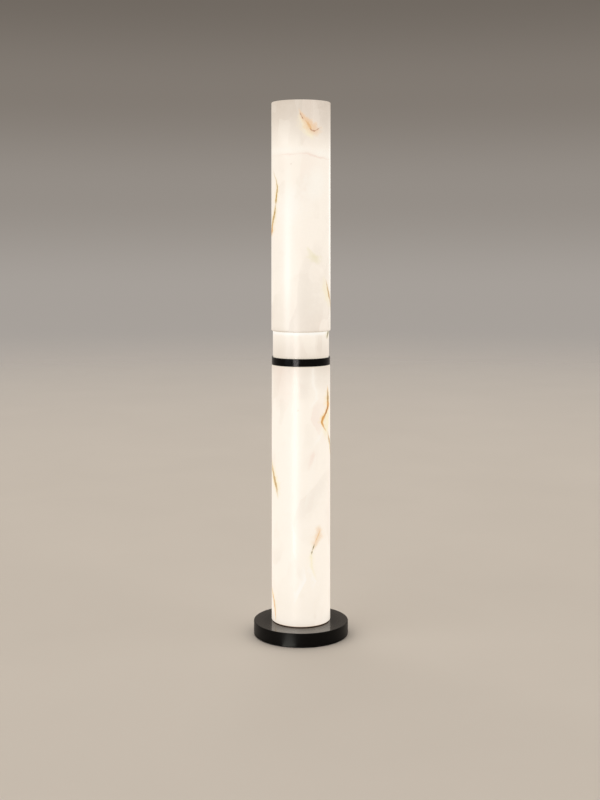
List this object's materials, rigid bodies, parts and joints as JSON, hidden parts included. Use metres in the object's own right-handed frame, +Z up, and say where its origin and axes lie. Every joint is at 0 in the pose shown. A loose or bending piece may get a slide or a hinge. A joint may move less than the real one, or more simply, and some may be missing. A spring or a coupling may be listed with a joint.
{
  "type": "column floor lamp",
  "caption": "Tall cylindrical floor lamp: lit stone column on a black disc base, a black ring at mid height, and an outer stone sleeve that turns on the neck and lifts off.",
  "frame": {"origin": "on the floor, in the middle of the round base", "axes": "+Z up along the column, +Y towards the back where the supply cord leaves the base"},
  "size_m": [0.248, 0.248, 1.4],
  "materials": {
    "pad_rubber": "matte non-slip pad",
    "base_black": "satin black powder coat",
    "cover_black": "satin black powder coat",
    "zinc_steel": "bright zinc",
    "gland_black": "moulded black",
    "driver_case": "moulded off-white",
    "terminal_white": "moulded white",
    "earth_brass": "plain brass",
    "mains_insulation": "sleeved wire",
    "earth_insulation": "sleeved wire",
    "light_insulation": "sleeved wire",
    "seat_black": "black anodised",
    "rod_steel": "bright zinc",
    "foot_rubber": "matte black",
    "lower_stone": "polished translucent veined stone",
    "bar_aluminium": "mill finish",
    "joining_board": "white solder mask",
    "clear_silicone": "translucent silicone",
    "ring_black": "gloss black",
    "neck_stone": "polished translucent veined stone",
    "cap_aluminium": "turned",
    "rest_nylon": "natural nylon",
    "sleeve_stone": "polished translucent veined stone",
    "light_strip": "white board with warm white chips",
    "opal_plastic": "opal, evenly lit from inside"
  },
  "bodies": {
    "stand": {"floor_pad": "pad_rubber", "base_disc": "base_black", "base_cover": "cover_black", "cover_screws": "zinc_steel", "cord_gland": "gland_black", "driver": "driver_case", "driver_screws": "zinc_steel", "terminal_block": "terminal_white", "terminal_screw": "zinc_steel", "earth_lug": "earth_brass", "earth_screw": "earth_brass", "mains_leads": "mains_insulation", "earth_lead": "earth_insulation", "light_leads": "light_insulation", "lower_seat": "seat_black", "seat_screws": "zinc_steel", "clamping_rod": "rod_steel", "rod_nuts": "zinc_steel", "rod_washers": "zinc_steel", "foot_gasket": "foot_rubber", "lower_column": "lower_stone", "lower_light_bar": "bar_aluminium", "lower_light_strips": "light_strip", "lower_board": "joining_board", "lower_diffuser": "opal_plastic", "column_gasket": "clear_silicone", "coupling_ring": "ring_black", "neck_gasket": "clear_silicone", "neck_tube": "neck_stone", "upper_light_bar": "bar_aluminium", "upper_light_strips": "light_strip", "upper_board": "joining_board", "upper_diffuser": "opal_plastic", "cap_gasket": "clear_silicone", "tube_cap": "cap_aluminium"},
    "sleeve_seat": {"rest_ring": "rest_nylon"},
    "sleeve": {"outer_sleeve": "sleeve_stone", "closing_disc": "sleeve_stone"}
  },
  "joints": [
    {"name": "sleeve_turn", "type": "hinge", "parent": "stand", "child": "sleeve_seat", "pos_m": [0, 0, 0.7985], "axis": [0, 0, 1], "continuous": true},
    {"name": "sleeve_lift", "type": "slide", "parent": "sleeve_seat", "child": "sleeve", "axis": [0, 0, 1], "range_m": [0, 0.49]}
  ]
}
